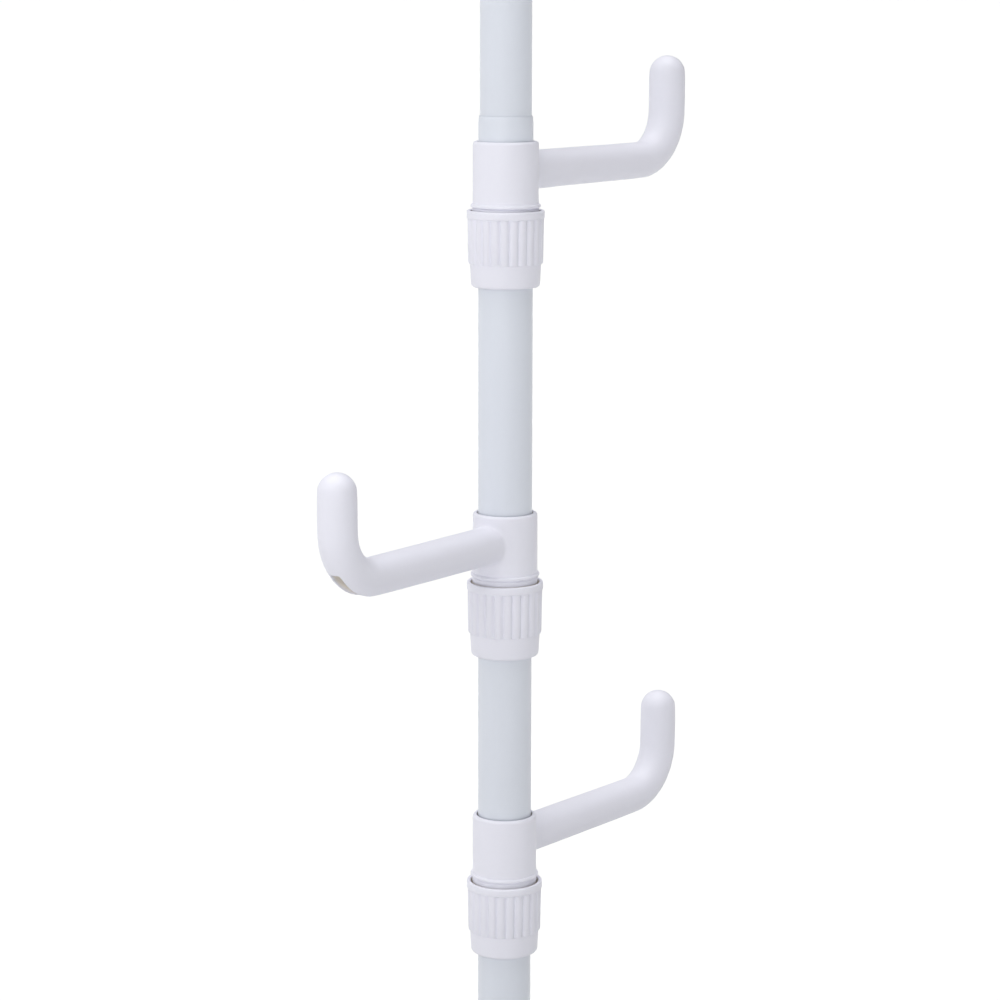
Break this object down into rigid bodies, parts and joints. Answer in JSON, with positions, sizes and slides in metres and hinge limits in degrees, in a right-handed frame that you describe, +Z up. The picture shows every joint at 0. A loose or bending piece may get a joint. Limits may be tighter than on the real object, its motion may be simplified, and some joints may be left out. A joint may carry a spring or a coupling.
{
  "type": "floor-to-ceiling coat stand",
  "caption": "Telescopic tension pole braced between floor and ceiling, with clamp-on J-shaped coat hooks that slide and swing round the pole and are held by ribbed lock nuts.",
  "frame": {"origin": "centre of the foot pad's underside, on the floor and on the pole's axis", "axes": "+Z up along the pole to the ceiling, +X along the arm of the top hook"},
  "size_m": [0.2965, 0.08, 2.4001],
  "materials": {
    "tube_paint": "smooth satin paint, cool white",
    "white_plastic": "fine matt moulding, white",
    "grey_plastic": "plain moulding, grey",
    "pad_rubber": "soft matt, pale grey",
    "zinc_steel": "bright zinc plate"
  },
  "bodies": {
    "pole": {"foot_pad": "pad_rubber", "foot_base": "white_plastic", "lower_tube": "tube_paint", "tube_joint": "grey_plastic", "middle_tube": "tube_paint"},
    "telescope": {"guide_ring": "grey_plastic"},
    "upper_pole": {"upper_tube": "tube_paint", "end_plug": "grey_plastic", "cam_screw": "zinc_steel", "top_bush": "grey_plastic"},
    "lock_cam": {"lock_cam": "white_plastic"},
    "jack_dial": {"jack_dial": "white_plastic"},
    "ceiling_jack": {"jack_screw": "zinc_steel", "ceiling_cup": "white_plastic", "ceiling_pad": "pad_rubber"},
    "hook_slider_1": {"grip_ring_1": "grey_plastic"},
    "hook_1": {"hook_1": "white_plastic"},
    "lock_nut_1": {"lock_nut_1": "white_plastic"},
    "hook_slider_2": {"grip_ring_2": "grey_plastic"},
    "hook_2": {"hook_2": "white_plastic"},
    "lock_nut_2": {"lock_nut_2": "white_plastic"},
    "hook_slider_3": {"grip_ring_3": "grey_plastic"},
    "hook_3": {"hook_3": "white_plastic"},
    "lock_nut_3": {"lock_nut_3": "white_plastic"}
  },
  "joints": [
    {"name": "telescope_slide", "type": "slide", "parent": "pole", "child": "telescope", "axis": [0, 0, 1], "range_m": [-0.35, 0.2]},
    {"name": "telescope_twist", "type": "hinge", "parent": "telescope", "child": "upper_pole", "pos_m": [0, 0, 1.2997], "axis": [0, 0, 1], "range_deg": [-45, 0]},
    {"name": "cam_turn", "type": "hinge", "parent": "upper_pole", "child": "lock_cam", "pos_m": [0.00057, 0.00057, 1.2775], "axis": [0, 0, 1], "range_deg": [0, 45]},
    {"name": "dial_turn", "type": "hinge", "parent": "upper_pole", "child": "jack_dial", "pos_m": [0, 0, 2.3433], "axis": [0, 0, 1], "range_deg": [-2700, 1800]},
    {"name": "jack_lift", "type": "slide", "parent": "upper_pole", "child": "ceiling_jack", "axis": [0, 0, 1], "range_m": [-0.02, 0.03]},
    {"name": "hook_slide_1", "type": "slide", "parent": "pole", "child": "hook_slider_1", "axis": [0, 0, 1], "range_m": [-0.05, 0.012]},
    {"name": "hook_swing_1", "type": "hinge", "parent": "hook_slider_1", "child": "hook_1", "pos_m": [0, 0, 1.68695], "axis": [0, 0, 1], "continuous": true},
    {"name": "nut_turn_1", "type": "hinge", "parent": "hook_1", "child": "lock_nut_1", "pos_m": [0, 0, 1.65195], "axis": [0, 0, 1], "range_deg": [-360, 0]},
    {"name": "hook_slide_2", "type": "slide", "parent": "pole", "child": "hook_slider_2", "axis": [0, 0, 1], "range_m": [-0.04, 0.05]},
    {"name": "hook_swing_2", "type": "hinge", "parent": "hook_slider_2", "child": "hook_2", "pos_m": [0, 0, 1.4955], "axis": [0, 0, 1], "continuous": true},
    {"name": "nut_turn_2", "type": "hinge", "parent": "hook_2", "child": "lock_nut_2", "pos_m": [0, 0, 1.4589], "axis": [0, 0, 1], "range_deg": [-360, 0]},
    {"name": "hook_slide_3", "type": "slide", "parent": "pole", "child": "hook_slider_3", "axis": [0, 0, 1], "range_m": [-1.1, 0.04]},
    {"name": "hook_swing_3", "type": "hinge", "parent": "hook_slider_3", "child": "hook_3", "pos_m": [0, 0, 1.33325], "axis": [0, 0, 1], "continuous": true},
    {"name": "nut_turn_3", "type": "hinge", "parent": "hook_3", "child": "lock_nut_3", "pos_m": [0, 0, 1.29705], "axis": [0, 0, 1], "range_deg": [-360, 0]}
  ],
  "couplings": [
    {"joint": "cam_turn", "follows": "telescope_twist", "ratio": -1},
    {"joint": "jack_lift", "follows": "dial_turn", "m_per_rad": -0.0006366}
  ]
}
